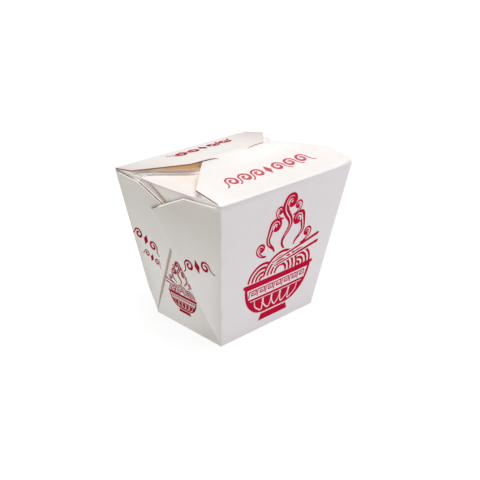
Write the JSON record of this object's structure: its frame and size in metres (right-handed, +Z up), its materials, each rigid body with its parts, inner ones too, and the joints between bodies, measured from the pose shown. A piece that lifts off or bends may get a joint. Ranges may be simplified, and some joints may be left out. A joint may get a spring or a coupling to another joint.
{
  "type": "noodle takeaway box",
  "caption": "Shut takeaway box folded from one sheet of coated board: it widens upwards, with doubled webs on its narrow sides and a lid flap locked by a tongue.",
  "frame": {"origin": "middle of the underside of the flat base, on the surface the box stands on", "axes": "+Z up; -Y out of the front, one of the two wide walls, whose flap carries the slit of the lock; X along the wide walls, the longest extent; Y is the shortest extent"},
  "size_m": [0.0978, 0.08, 0.0923],
  "materials": {
    "board": "white coated board, satin",
    "cut_edge": "bare brown pulp at the cut edges, matt",
    "red_print": "crimson printing ink on the board, satin"
  },
  "bodies": {
    "root": {"takeaway_box": "board"}
  },
  "joints": []
}
